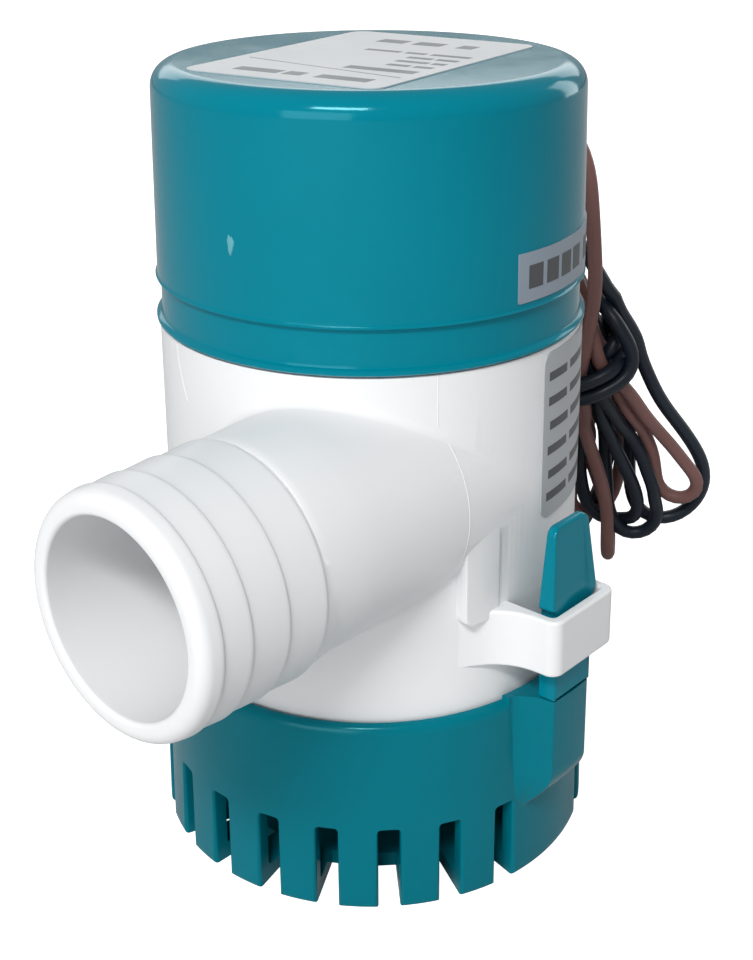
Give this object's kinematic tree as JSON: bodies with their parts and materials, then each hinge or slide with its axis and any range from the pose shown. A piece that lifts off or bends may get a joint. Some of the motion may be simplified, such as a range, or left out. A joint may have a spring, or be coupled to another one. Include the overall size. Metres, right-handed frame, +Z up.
{
  "type": "bilge pump",
  "caption": "Submersible bilge pump: a motor cap on a round body with a barbed side outlet, held in a slotted strainer base by spring latches, with wire leads.",
  "frame": {"origin": "centre of the strainer base's underside, on the pump's axis", "axes": "+Z up along the pump's axis; -Y is the front, between the outlet and the front latch; +X is to the right seen from the front"},
  "size_m": [0.0978, 0.1282, 0.1053],
  "materials": {
    "teal_plastic": "satin-gloss moulded plastic, teal",
    "white_plastic": "satin moulded plastic, white",
    "inner_plastic": "matt moulded plastic, off-white",
    "bell_nylon": "matt nylon, natural",
    "black_rubber": "matt black rubber",
    "plated_steel": "zinc-plated steel, satin",
    "shaft_steel": "ground stainless steel",
    "core_steel": "dark laminated steel",
    "bronze": "sintered bronze, oiled",
    "copper": "enamelled copper wire, glossy",
    "ferrite": "sintered ferrite, matt dark grey",
    "carbon": "matt carbon",
    "terminal_brass": "tinned brass",
    "brown_wire": "brown flexible vinyl, satin",
    "black_wire": "black flexible vinyl, satin",
    "top_label": "satin pale grey vinyl",
    "side_label": "satin silver-grey vinyl"
  },
  "bodies": {
    "base": {"strainer_base": "teal_plastic"},
    "latch_front": {"latch_finger_front": "teal_plastic"},
    "latch_rear": {"latch_finger_rear": "teal_plastic"},
    "pump": {"pump_body": "white_plastic", "intake_plate": "inner_plastic", "motor_cap": "teal_plastic", "cap_gasket": "black_rubber", "motor_can": "plated_steel", "magnet_1": "ferrite", "magnet_2": "ferrite", "lower_bearing": "bronze", "upper_bearing": "bronze", "end_bell": "bell_nylon", "brush_1": "carbon", "brush_arm_1": "terminal_brass", "terminal_1": "terminal_brass", "brush_2": "carbon", "brush_arm_2": "terminal_brass", "terminal_2": "terminal_brass", "motor_screw_1": "plated_steel", "motor_screw_2": "plated_steel", "shaft_seal": "black_rubber", "seal_retainer": "plated_steel", "cable_gland": "black_rubber", "brown_lead": "brown_wire", "black_lead": "black_wire", "inner_lead_1": "brown_wire", "inner_lead_2": "black_wire", "black_wire_hank": "black_wire", "brown_wire_hank": "brown_wire", "top_label": "top_label", "cap_label": "side_label", "body_label": "side_label"},
    "rotor": {"motor_shaft": "shaft_steel", "armature_core": "core_steel", "windings": "copper", "commutator": "copper", "impeller": "inner_plastic"}
  },
  "joints": [
    {"name": "latch_front_press", "type": "hinge", "parent": "base", "child": "latch_front", "pos_m": [0.0246, -0.02177, 0.0272], "axis": [-0.6626, -0.749, 0], "range_deg": [0, 6], "stiffness_Nm_per_rad": 0.2},
    {"name": "latch_rear_press", "type": "hinge", "parent": "base", "child": "latch_rear", "pos_m": [-0.0246, 0.02177, 0.0272], "axis": [0.6626, 0.749, 0], "range_deg": [0, 6], "stiffness_Nm_per_rad": 0.2},
    {"name": "pump_lift", "type": "slide", "parent": "base", "child": "pump", "axis": [0, 0, 1], "range_m": [0, 0.06]},
    {"name": "rotor_spin", "type": "hinge", "parent": "pump", "child": "rotor", "pos_m": [0, 0, 0.07], "axis": [0, 0, 1], "continuous": true}
  ]
}
